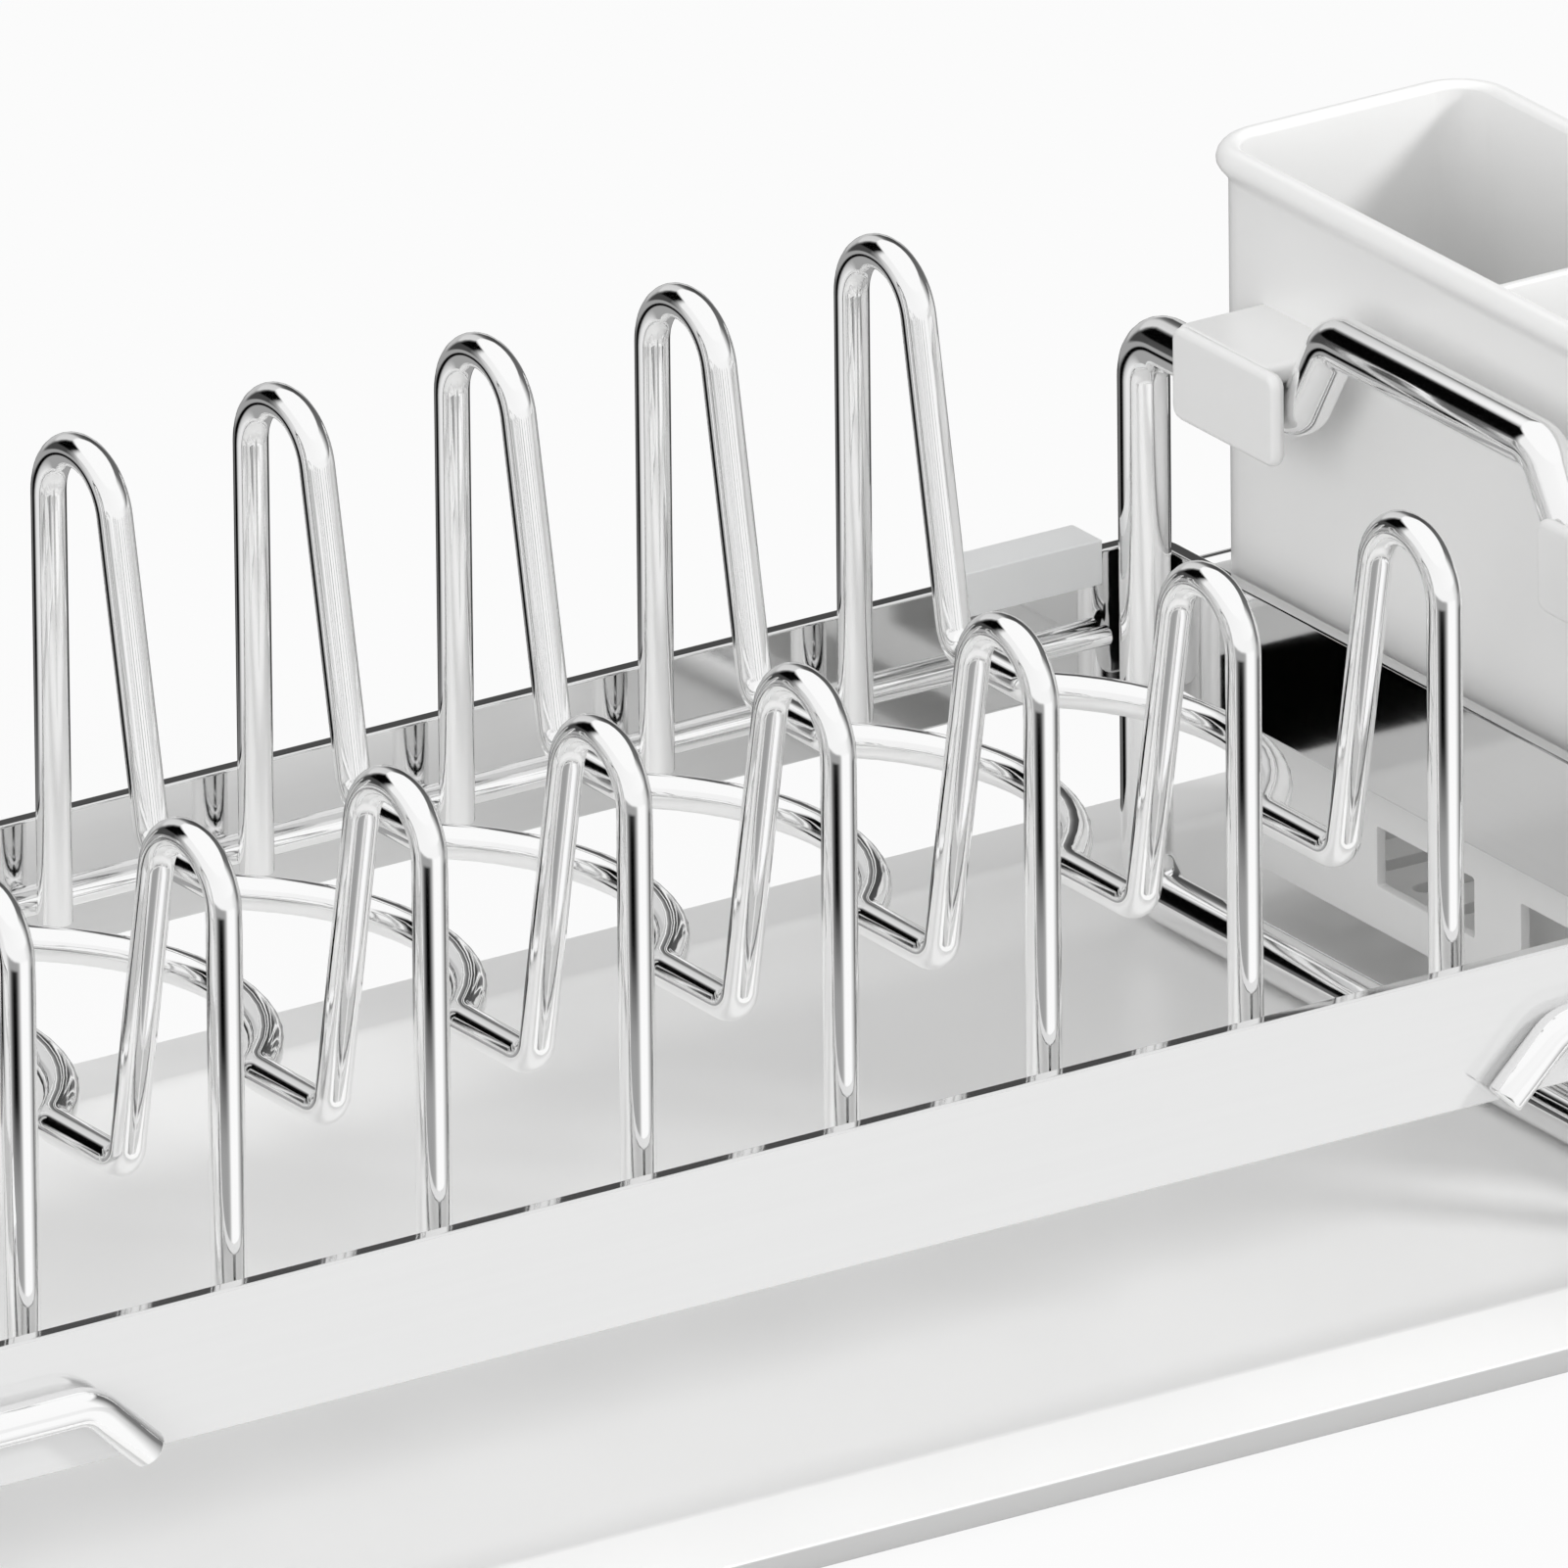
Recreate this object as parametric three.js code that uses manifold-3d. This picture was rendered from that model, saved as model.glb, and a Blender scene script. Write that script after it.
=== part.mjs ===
// Over-sink dish rack with a drip tray and a hung cutlery holder.
// Millimetres. X runs along the rack, Y from front to rear and Z up.
// The origin is the middle of the drip tray's underside.

import * as THREE from 'three';
import { mergeVertices } from 'three/addons/utils/BufferGeometryUtils.js';
import Module from 'manifold-3d';

const wasm = await Module();
wasm.setup();

// Fits between pieces
const seat_gap = 0.3;
const cut_overrun = 2;

// Rim band: flat strip, closed all round, with its edges rolled smooth
const band_length = 414;
const band_depth = 196.5;
const band_height = 24.5;
const band_thickness = 3;
const band_corner_radius = 8;
const band_edge_radius = 1;

// Thin wires: two long ones and eight thicker dividers. Heights count from the band's top edge.
const long_wire_diameter = 3.5;
const long_wire_drop = 14.5;
const wire_diameter = 6;
const divider_count = 8;
const divider_end_gap = 67;
const divider_rise = 70.9;
const divider_loop_width = 18.7;
const divider_loop_radius = 10;
const divider_base_half = 57.5;
const divider_base_rise = 6.7;
const divider_base_radius = 5;
const divider_bow_half = 35;
const divider_bow_reach = 35.6;
const divider_bow_radius = 46;

// End frames: closed loops of rod, from the foot bar to the raised handle
const frame_rod_diameter = 9;
const frame_post_inset = 1.5;
const frame_foot_drop = 60;
const frame_rise = 40.7;
const frame_corner_radius = 8;
const handle_rise = 57.3;
const handle_half = 31;
const handle_foot_half = 41.2;
const handle_bend_radius = 6;

// Support arms: U-shaped rods along the band, with their inner ends bent down
const arm_rod_diameter = 6.7;
const arm_drop = 12.2;
const arm_length = 165;
const arm_corner_radius = 14;
const arm_tip_run = 11.2;
const arm_tip_fall = 10.6;
const arm_tip_radius = 8;
const right_arm_tip_inset = 65;
const left_arm_tip_inset = 82.3;

// Clips: plastic guides over the band's edge that wrap the arms
const clip_length = 27.6;
const clip_post_gap = 1.5;
const clip_top_thickness = 2.7;
const clip_leg_thickness = 2.2;
const clip_leg_drop = 5;
const clip_web_thickness = 3.2;
const clip_ring_wall = 2.3;
const clip_arm_clearance = 0.3;
const clip_edge_radius = 0.8;

// Cutlery holder: moulded box with one partition, hung outside the band's right end
const holder_gap = 3;
const holder_width = 53.8;
const holder_end_inset = 12.9;
const holder_rise = 74.3;
const holder_drop = 53;
const holder_wall = 2;
const holder_floor = 2.5;
const holder_corner_radius = 9;
const holder_bead_radius = 2.8;
const holder_bead_inset = 0.7;
const partition_drop = 0.4;
const window_width = 28.9;
const window_pitch = 42.9;
const window_top_drop = 34.3;
const window_bottom_drop = 45;
const floor_slot_count = 5;
const floor_slot_width = 4;
const floor_slot_length = 30;
const floor_slot_pitch = 12;
const hook_width = 24.9;
const hook_side_gap = 3.6;
const hook_plate_thickness = 2.7;
const hook_plate_reach = 6.1;
const hook_bridge_thickness = 3.9;
const hook_height = 16.6;

// Drip tray: shallow moulded tray with a crested rim that falls to a turned-down lip
const tray_wall = 2;
const tray_left_reach = 46;
const tray_right_reach = 80;
const tray_side_reach = 25.8;
const tray_corner_radius = 48;
const tray_rim_width = 17.9;
const tray_rim_fall = 1.6;
const tray_crest_height = 7.3;
const tray_slope_width = 25.6;
const tray_crest_radius = 8;
const tray_lip_height = 4.6;

// Mesh fineness: sides of a round section and the turn between two rings of a bend
const wire_sides = 8;
const rod_sides = 12;
const bead_sides = 8;
const bend_step = Math.PI / 9;
const joint_share = 0.98;

// Worked-out places. Band heights count up from the band's top edge at zero.
const wire_radius = wire_diameter / 2;
const long_wire_radius = long_wire_diameter / 2;
const rod_radius = frame_rod_diameter / 2;
const arm_radius = arm_rod_diameter / 2;
const band_inner_corner = Math.max(band_corner_radius - band_thickness, 0);
const post_slack = (band_inner_corner - rod_radius - seat_gap) * Math.SQRT1_2;
const frame_inset = band_thickness + Math.max(rod_radius + seat_gap, band_inner_corner - post_slack);
const frame_x = band_length / 2 - frame_inset;
const frame_y = band_depth / 2 - frame_inset - frame_post_inset;
const divider_pitch = (band_length - 2 * divider_end_gap) / (divider_count - 1);
const long_wire_y = band_depth / 2 - band_thickness - seat_gap - long_wire_radius;
const divider_leg_y = long_wire_y - long_wire_radius - seat_gap - wire_radius;
const arm_y = band_depth / 2 + seat_gap + arm_radius;
const holder_length = band_depth - 2 * holder_end_inset;
const tray_length = band_length + tray_left_reach + tray_right_reach;
const tray_depth = band_depth + 2 * tray_side_reach;
const rack_x = (tray_left_reach - tray_right_reach) / 2;
const rack_z = tray_wall + seat_gap + rod_radius + frame_foot_drop;

// Materials
const steel = { color: 0xc9cbcc, roughness: 0.16, metalness: 1 };
const satin_steel = { color: 0xd2d3d3, roughness: 0.3, metalness: 1 };
const white_plastic = { color: 0xf2f2f0, roughness: 0.25, metalness: 0 };
const clip_plastic = { color: 0xeceeee, roughness: 0.35, metalness: 0 };

// A route of rings: each ring has a place and a direction, and rings sit only where a bend needs them
class Route extends THREE.Curve {
  constructor(rings) {
    super();
    this.rings = rings;
  }

  ring(u) {
    return this.rings[Math.round(u * (this.rings.length - 1))];
  }

  getPointAt(u, target = new THREE.Vector3()) {
    return target.copy(this.ring(u).place);
  }

  getTangentAt(u, target = new THREE.Vector3()) {
    return target.copy(this.ring(u).direction);
  }
}

// Bends a rod: corners are [x, y, z, bend radius]. Bends that would meet on a short run shrink alike.
function bent_route(corners, closed = false) {
  const points = corners.map(([x, y, z]) => new THREE.Vector3(x, y, z));
  const count = points.length;
  const run = (i) => points[(i + 1) % count].clone().sub(points[i]);
  const directions = points.map((_, i) => run(i).normalize());
  const lengths = points.map((_, i) => run(i).length());
  const turn = (i) => directions[(i + count - 1) % count].angleTo(directions[i]);
  const bends = corners.map(([, , , radius = 0], i) => {
    const is_end = !closed && (i === 0 || i === count - 1);
    return is_end ? 0 : radius * Math.tan(turn(i) / 2);
  });
  for (let i = 0; i < count; i += 1) {
    const next = (i + 1) % count;
    const used = bends[i] + bends[next];
    const limit = lengths[i] * joint_share;
    if (used > limit && (closed || next > 0)) {
      bends[i] *= limit / used;
      bends[next] *= limit / used;
    }
  }
  const rings = [];
  for (let i = 0; i < count; i += 1) {
    const before = directions[(i + count - 1) % count];
    const after = directions[i];
    if (bends[i] === 0) {
      const is_last = !closed && i === count - 1;
      rings.push({ place: points[i], direction: is_last ? before : after });
      continue;
    }
    const angle = turn(i);
    const radius = bends[i] / Math.tan(angle / 2);
    const start = points[i].clone().addScaledVector(before, -bends[i]);
    const inward = after.clone().addScaledVector(before, -before.dot(after)).normalize();
    const centre = start.clone().addScaledVector(inward, radius);
    const steps = Math.max(1, Math.round(angle / bend_step));
    for (let k = 0; k <= steps; k += 1) {
      const a = angle * k / steps;
      const place = centre.clone()
        .addScaledVector(inward, -radius * Math.cos(a))
        .addScaledVector(before, radius * Math.sin(a));
      const direction = before.clone().multiplyScalar(Math.cos(a)).addScaledVector(inward, Math.sin(a));
      rings.push({ place, direction });
    }
  }
  if (closed) rings.push(rings[0]);
  return new Route(rings);
}

// Keeps only positions and joins shared corners, so that faces share their vertices
function joined(geometry) {
  const bare = new THREE.BufferGeometry();
  bare.setAttribute('position', geometry.getAttribute('position'));
  if (geometry.index) bare.setIndex(geometry.index);
  return mergeVertices(bare);
}

// Sweeps an outline along a route. A closed route has no end caps: its last ring is its first.
function swept(outline, route, closed = false) {
  const settings = { steps: route.rings.length - 1, curveSegments: 1, extrudePath: route };
  const geometry = new THREE.ExtrudeGeometry(outline, settings);
  if (!closed) return joined(geometry);
  const sides = geometry.groups.find((group) => group.materialIndex === 1);
  const positions = geometry.getAttribute('position').array;
  const kept = positions.slice(sides.start * 3, (sides.start + sides.count) * 3);
  const open = new THREE.BufferGeometry();
  open.setAttribute('position', new THREE.BufferAttribute(kept, 3));
  return joined(open);
}

function round_section(radius, sides) {
  const points = [];
  for (let i = 0; i < sides; i += 1) {
    const a = 2 * Math.PI * i / sides;
    points.push(new THREE.Vector2(radius * Math.cos(a), radius * Math.sin(a)));
  }
  return new THREE.Shape(points);
}

function rod(corners, radius, sides, closed = false) {
  return swept(round_section(radius, sides), bent_route(corners, closed), closed);
}

// Route round a rectangle with round corners, from the middle of its front side
function rectangle_route(length, depth, corner_radius, z) {
  const x = length / 2;
  const y = depth / 2;
  return bent_route([
    [0, -y, z], [x, -y, z, corner_radius], [x, y, z, corner_radius],
    [-x, y, z, corner_radius], [-x, -y, z, corner_radius],
  ], true);
}

// Outline with its corners rounded: points are [x, y, radius]
function rounded_outline(points) {
  const corners = points.map(([x, y, radius = 0]) => [x, y, 0, radius]);
  const { rings } = bent_route(corners, true);
  return new THREE.Shape(rings.slice(0, -1).map(({ place }) => new THREE.Vector2(place.x, place.y)));
}

function rectangle_outline(length, depth, radius) {
  const x = length / 2;
  const y = depth / 2;
  return rounded_outline([[-x, -y, radius], [x, -y, radius], [x, y, radius], [-x, y, radius]]);
}

// Upright plate of an outline in the XY plane, from one height to another
function upright(outline, bottom, top) {
  const settings = { depth: top - bottom, bevelEnabled: false, curveSegments: 1 };
  return joined(new THREE.ExtrudeGeometry(outline, settings).translate(0, 0, bottom));
}

function solid(geometry) {
  const vertProperties = Float32Array.from(geometry.getAttribute('position').array);
  const triVerts = Uint32Array.from(geometry.index.array);
  return new wasm.Manifold(new wasm.Mesh({ numProp: 3, vertProperties, triVerts }));
}

function geometry_of(manifold) {
  const { vertProperties, triVerts } = manifold.getMesh();
  const geometry = new THREE.BufferGeometry();
  geometry.setAttribute('position', new THREE.BufferAttribute(Float32Array.from(vertProperties), 3));
  geometry.setIndex(new THREE.BufferAttribute(Uint32Array.from(triVerts), 1));
  return geometry;
}

function piece(name, geometry, finish) {
  const shaded = geometry.clone();
  shaded.computeVertexNormals();
  const mesh = new THREE.Mesh(shaded, new THREE.MeshStandardMaterial(finish));
  mesh.name = name;
  return mesh;
}

// On a level route that starts along X, an outline's x points down and its y points inward
function make_rim_band() {
  const r = band_edge_radius;
  const section = rounded_outline([
    [0, 0, r], [band_height, 0, r], [band_height, band_thickness, r], [0, band_thickness, r],
  ]);
  return swept(section, rectangle_route(band_length, band_depth, band_corner_radius, 0), true);
}

function make_long_wire(y) {
  const x = frame_x - rod_radius - seat_gap;
  return rod([[-x, y, -long_wire_drop], [x, y, -long_wire_drop]], long_wire_radius, wire_sides);
}

// Front half of the divider, from its foot on the long wire to the middle of the bow
function divider_half() {
  const foot_z = -long_wire_drop - long_wire_radius;
  const inner_y = divider_leg_y - divider_loop_width;
  return [
    [0, -divider_leg_y, foot_z],
    [0, -divider_leg_y, divider_rise, divider_loop_radius],
    [0, -inner_y, divider_rise, divider_loop_radius],
    [0, -divider_base_half, divider_base_rise, divider_base_radius],
    [0, -divider_bow_half, divider_base_rise, divider_base_radius],
  ];
}

function make_divider() {
  const front = divider_half();
  const rear = front.map(([x, y, z, radius]) => [x, -y, z, radius]).reverse();
  const bow = [divider_bow_reach, 0, divider_base_rise, divider_bow_radius];
  return rod([...front, bow, ...rear], wire_radius, wire_sides);
}

function make_end_frame() {
  const side = [
    [0, frame_y, -frame_foot_drop, frame_corner_radius],
    [0, frame_y, frame_rise, frame_corner_radius],
    [0, handle_foot_half, frame_rise, handle_bend_radius],
    [0, handle_half, handle_rise, handle_bend_radius],
  ];
  const other_side = side.map(([x, y, z, radius]) => [x, -y, z, radius]).reverse();
  return rod([[0, 0, -frame_foot_drop], ...side, ...other_side], rod_radius, rod_sides, true);
}

// Arm with its tip at x = 0, reaching along +X to its cross-bar
function make_support_arm() {
  const prong = [
    [0, arm_y, -arm_drop - arm_tip_fall],
    [arm_tip_run, arm_y, -arm_drop, arm_tip_radius],
    [arm_length, arm_y, -arm_drop, arm_corner_radius],
  ];
  const other_prong = prong.map(([x, y, z, radius]) => [x, -y, z, radius]).reverse();
  return rod([...prong, ...other_prong], arm_radius, rod_sides);
}

// Clip section: x counts outward from the band's outer face and y up from its top edge
function clip_section() {
  const web_x = seat_gap + clip_web_thickness;
  const leg_inner = -band_thickness - seat_gap;
  const top = seat_gap + clip_top_thickness;
  const r = clip_edge_radius;
  const centre = new THREE.Vector2(seat_gap + arm_radius, -arm_drop);
  const bore = arm_radius + clip_arm_clearance;
  const ring = bore + clip_ring_wall;
  const shape = new THREE.Shape();
  const arc_to = (radius, from, to) => {
    const steps = Math.ceil(Math.abs(to - from) / bend_step);
    for (let k = 0; k <= steps; k += 1) {
      const a = from + (to - from) * k / steps;
      shape.lineTo(centre.x + radius * Math.cos(a), centre.y + radius * Math.sin(a));
    }
  };
  shape.moveTo(leg_inner, -clip_leg_drop);
  shape.lineTo(leg_inner, seat_gap);
  shape.lineTo(seat_gap, seat_gap);
  const bore_edge = Math.acos(-arm_radius / bore);
  const ring_edge = Math.acos(-arm_radius / ring);
  const web_edge = Math.acos((web_x - centre.x) / ring);
  arc_to(bore, bore_edge, -bore_edge);
  arc_to(ring, -ring_edge, web_edge);
  shape.lineTo(web_x, top - r);
  shape.lineTo(web_x - r, top);
  shape.lineTo(leg_inner - clip_leg_thickness + r, top);
  shape.lineTo(leg_inner - clip_leg_thickness, top - r);
  shape.lineTo(leg_inner - clip_leg_thickness, -clip_leg_drop);
  return shape;
}

// Clip along X for the rear side, centred on x = 0
function make_clip() {
  const settings = { depth: clip_length, bevelEnabled: false, curveSegments: 1 };
  const geometry = new THREE.ExtrudeGeometry(clip_section(), settings);
  geometry.translate(0, 0, -clip_length / 2);
  geometry.rotateX(Math.PI / 2).rotateZ(Math.PI / 2).translate(0, band_depth / 2, 0);
  return joined(geometry);
}

const holder_inner_x = band_length / 2 + holder_gap;
const holder_x = holder_inner_x + holder_width / 2;

// Hook over the low part of the end frame's top rod. Its plate reaches past its bridge, beside the handle.
function make_hook(side) {
  const near = handle_foot_half + hook_side_gap;
  const under = frame_rise + rod_radius + seat_gap;
  const top = under + hook_bridge_thickness;
  const plate_x = frame_x - rod_radius - seat_gap;
  const outer_x = plate_x - hook_plate_thickness;
  const root_x = holder_inner_x + holder_wall;
  const section = new THREE.Shape([
    [outer_x, top - hook_height], [plate_x, top - hook_height], [plate_x, under],
    [root_x, under], [root_x, top], [outer_x, top],
  ].map(([x, z]) => new THREE.Vector2(x, z)));
  const settings = { depth: hook_width, bevelEnabled: false };
  const geometry = new THREE.ExtrudeGeometry(section, settings).rotateX(Math.PI / 2);
  const end_y = side > 0 ? near + hook_width : -near;
  const hook = solid(joined(geometry.translate(0, end_y, 0)));

  const plate_width = hook_width + hook_plate_reach;
  const plate = new THREE.BoxGeometry(hook_plate_thickness, plate_width, hook_height);
  const plate_y = side * (near - hook_plate_reach + plate_width / 2);
  plate.translate((outer_x + plate_x) / 2, plate_y, top - hook_height / 2);
  return hook.add(solid(joined(plate)));
}

function make_holder() {
  const outer = rectangle_outline(holder_width, holder_length, holder_corner_radius);
  const inner_width = holder_width - 2 * holder_wall;
  const inner_length = holder_length - 2 * holder_wall;
  const inner = rectangle_outline(inner_width, inner_length, holder_corner_radius - holder_wall);
  const shell_outer = solid(upright(outer, -holder_drop, holder_rise - holder_bead_radius));
  const hollow = solid(upright(inner, -holder_drop + holder_floor, holder_rise + cut_overrun));
  const bead_width = holder_width - 2 * holder_bead_inset;
  const bead_length = holder_length - 2 * holder_bead_inset;
  const bead_corner = holder_corner_radius - holder_bead_inset;
  const bead_route = rectangle_route(bead_width, bead_length, bead_corner, 0);
  const bead = swept(round_section(holder_bead_radius, bead_sides), bead_route, true);
  bead.translate(0, 0, holder_rise - holder_bead_radius);

  // The bead stands out from the wall only: the mouth is as wide as the inside
  let body = shell_outer.add(solid(bead)).subtract(hollow);
  const partition_outline = rectangle_outline(inner_width + holder_wall, holder_wall, 0);
  const partition_top = holder_rise - partition_drop;
  body = body.add(solid(upright(partition_outline, -holder_drop + holder_floor / 2, partition_top)));

  const window_height = window_bottom_drop - window_top_drop;
  for (const side of [-1, 1]) {
    const box = new THREE.BoxGeometry(holder_wall + 2 * cut_overrun, window_width, window_height);
    const window_z = -(window_top_drop + window_bottom_drop) / 2;
    const window_x = (holder_wall - holder_width) / 2;
    body = body.subtract(solid(joined(box.translate(window_x, side * window_pitch / 2, window_z))));

    const compartment_y = side * (inner_length + holder_wall) / 4;
    for (let i = 0; i < floor_slot_count; i += 1) {
      const slot_y = compartment_y + (i - (floor_slot_count - 1) / 2) * floor_slot_pitch;
      const slot = rectangle_outline(floor_slot_length, floor_slot_width, floor_slot_width / 2);
      const cutter = upright(slot, -holder_drop - cut_overrun, -holder_drop + holder_floor + cut_overrun);
      body = body.subtract(solid(cutter.translate(0, slot_y, 0)));
    }
  }

  body = body.translate([holder_x, 0, 0]);
  for (const side of [-1, 1]) body = body.add(make_hook(side));
  return geometry_of(body);
}

// Top of the tray's rim as [distance in from the outer edge, height over the underside]
function tray_top_line() {
  const floor = tray_wall;
  const crest = floor + tray_crest_height;
  const angle = 2 * Math.atan(tray_crest_height / tray_slope_width);
  const dish_radius = tray_slope_width / Math.sin(angle) - tray_crest_radius;
  const floor_edge = tray_rim_width + tray_slope_width;
  const steps = Math.ceil(2 * angle / bend_step);
  const line = [[0, crest - tray_rim_fall]];
  for (let k = 0; k <= steps; k += 1) {
    const a = angle * k / steps;
    line.push([
      tray_rim_width + tray_crest_radius * Math.sin(a),
      crest - tray_crest_radius * (1 - Math.cos(a)),
    ]);
  }
  for (let k = steps - 1; k >= 0; k -= 1) {
    const a = angle * k / steps;
    line.push([floor_edge - dish_radius * Math.sin(a), floor + dish_radius * (1 - Math.cos(a))]);
  }
  return line;
}

function make_drip_tray() {
  const top = tray_top_line();
  const floor_edge = top[top.length - 1][0];
  const inner_end = floor_edge + cut_overrun;
  const edge_z = top[0][1];
  const lip_z = edge_z - tray_lip_height;
  const lip_under_z = edge_z - tray_wall;
  const under = top.slice(1).map(([inset, z]) => [inset, z - tray_wall]).reverse();
  const profile = [
    ...top, [inner_end, tray_wall], [inner_end, 0],
    ...under, [tray_wall, lip_under_z], [tray_wall, lip_z], [0, lip_z],
  ];
  const section = new THREE.Shape(profile.map(([inset, z]) => new THREE.Vector2(-z, inset)));
  const corner = Math.max(tray_corner_radius, inner_end + cut_overrun / 4);
  const rim = swept(section, rectangle_route(tray_length, tray_depth, corner, 0), true);
  const floor_length = tray_length - 2 * floor_edge;
  const floor_depth = tray_depth - 2 * floor_edge;
  const floor_outline = rectangle_outline(floor_length, floor_depth, corner - floor_edge);
  return geometry_of(solid(rim).add(solid(upright(floor_outline, 0, tray_wall))));
}

// Assembly
const rack = new THREE.Group();
rack.position.set(rack_x, 0, rack_z);
rack.add(piece('rim_band', make_rim_band(), satin_steel));
rack.add(piece('long_wire_front', make_long_wire(-long_wire_y), steel));
rack.add(piece('long_wire_rear', make_long_wire(long_wire_y), steel));

const divider = make_divider();
for (let i = 0; i < divider_count; i += 1) {
  const wire = piece(`divider_wire_${i + 1}`, divider, steel);
  wire.position.x = ((divider_count - 1) / 2 - i) * divider_pitch;
  rack.add(wire);
}

const end_frame = make_end_frame();
for (const [name, side] of [['end_frame_right', 1], ['end_frame_left', -1]]) {
  const frame = piece(name, end_frame, steel);
  frame.position.x = side * frame_x;
  rack.add(frame);
}

const support_arm = make_support_arm();
const right_arm = piece('support_arm_right', support_arm, steel);
right_arm.position.x = band_length / 2 - right_arm_tip_inset;
const left_arm = piece('support_arm_left', support_arm, steel);
left_arm.rotation.z = Math.PI;
left_arm.position.x = left_arm_tip_inset - band_length / 2;
rack.add(right_arm, left_arm);

const clip = make_clip();
const clip_x = frame_x - rod_radius - clip_post_gap - clip_length / 2;
for (const [side_name, side_x] of [['right', 1], ['left', -1]]) {
  const rear = piece(`clip_rear_${side_name}`, clip, clip_plastic);
  rear.position.x = side_x * clip_x;
  const front = piece(`clip_front_${side_name}`, clip, clip_plastic);
  front.rotation.z = Math.PI;
  front.position.x = side_x * clip_x;
  rack.add(rear, front);
}

rack.add(piece('cutlery_holder', make_holder(), white_plastic));

const dish_rack = new THREE.Group();
dish_rack.add(piece('drip_tray', make_drip_tray(), white_plastic), rack);

export default dish_rack;
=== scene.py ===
import math

import bpy
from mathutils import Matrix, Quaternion, Vector


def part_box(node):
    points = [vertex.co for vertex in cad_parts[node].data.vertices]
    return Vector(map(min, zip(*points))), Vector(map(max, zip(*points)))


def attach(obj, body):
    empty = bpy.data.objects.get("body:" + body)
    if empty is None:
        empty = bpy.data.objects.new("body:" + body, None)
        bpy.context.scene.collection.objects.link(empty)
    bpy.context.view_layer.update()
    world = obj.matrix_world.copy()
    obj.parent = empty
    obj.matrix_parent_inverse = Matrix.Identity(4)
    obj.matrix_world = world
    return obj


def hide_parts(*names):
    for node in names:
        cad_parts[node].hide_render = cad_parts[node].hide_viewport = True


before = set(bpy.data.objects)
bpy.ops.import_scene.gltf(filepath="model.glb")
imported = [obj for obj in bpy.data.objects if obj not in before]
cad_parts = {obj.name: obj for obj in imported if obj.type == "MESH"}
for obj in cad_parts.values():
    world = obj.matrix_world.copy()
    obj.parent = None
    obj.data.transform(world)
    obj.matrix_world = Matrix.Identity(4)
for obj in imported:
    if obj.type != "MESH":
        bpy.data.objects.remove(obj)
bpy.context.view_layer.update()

# The drip tray is one white plastic moulding. Its rim climbs to a soft crest, then slopes down
# to a flat floor, and a lip turns down and in from its outer edge. The rack stands loose in it.
MM = 0.001
tray_low, tray_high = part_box("drip_tray")
tray_corner = 48 * MM
tray_wall = 2 * MM
tray_rim_width = 17.9 * MM
tray_rim_fall = 1.6 * MM
tray_crest = 7.3 * MM
tray_slope = 25.6 * MM
tray_crest_radius = 8 * MM
tray_lip = 7 * MM
tray_lip_tuck = 5 * MM
tray_edge_round = 0.7 * MM


def pick(piece, kind, wanted):
    """Selects the faces, edges or corners that wanted() says yes to, and nothing else."""
    bpy.ops.object.mode_set(mode="EDIT")
    bpy.ops.mesh.select_mode(type=kind)
    bpy.ops.mesh.select_all(action="DESELECT")
    bpy.ops.object.mode_set(mode="OBJECT")
    mesh = piece.data
    parts = {"FACE": mesh.polygons, "EDGE": mesh.edges, "VERT": mesh.vertices}[kind]
    for part in parts:
        part.select = wanted(part)
    bpy.ops.object.mode_set(mode="EDIT")


def move(x=0.0, y=0.0, z=0.0):
    bpy.ops.transform.translate(value=(x, y, z))


def settle(piece, smooth_angle=35):
    """Leaves edit mode, puts the piece's place in its mesh and smooths its curved faces."""
    bpy.ops.object.mode_set(mode="OBJECT")
    bpy.ops.object.select_all(action="DESELECT")
    piece.select_set(True)
    bpy.context.view_layer.objects.active = piece
    bpy.ops.object.transform_apply(location=True, rotation=True, scale=True)
    bpy.ops.object.shade_smooth_by_angle(angle=math.radians(smooth_angle))


def finish_with(piece, kind, **settings):
    """Adds a modifier and applies it at once."""
    bpy.ops.object.select_all(action="DESELECT")
    piece.select_set(True)
    bpy.context.view_layer.objects.active = piece
    modifier = piece.modifiers.new(kind.lower(), kind)
    for name, value in settings.items():
        setattr(modifier, name, value)
    bpy.ops.object.modifier_apply(modifier=modifier.name)


def round_edges(piece, radius, segments=3, from_angle=40):
    finish_with(
        piece,
        "BEVEL",
        width=radius,
        segments=segments,
        limit_method="ANGLE",
        angle_limit=math.radians(from_angle),
    )


def flatten_shading(piece):
    """Weights the shading by face size, so that rounded edges don't bend the flat faces."""
    finish_with(piece, "WEIGHTED_NORMAL", keep_sharp=True, weight=50)


def plate(name, length, depth, corner, z, segments=16):
    """A flat plate with round corners, left in edit mode with its face selected."""
    bpy.ops.object.select_all(action="DESELECT")
    bpy.ops.mesh.primitive_plane_add(size=1, location=(0, 0, z))
    piece = bpy.context.object
    piece.name = name
    piece.scale = (length, depth, 1)
    bpy.ops.object.transform_apply(location=True, rotation=True, scale=True)
    bpy.ops.object.mode_set(mode="EDIT")
    bpy.ops.mesh.select_mode(type="VERT")
    bpy.ops.mesh.select_all(action="SELECT")
    bpy.ops.mesh.bevel(offset=corner, segments=segments, affect="VERTICES", profile=0.5)
    bpy.ops.mesh.select_mode(type="FACE")
    bpy.ops.mesh.select_all(action="SELECT")
    return piece


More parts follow.
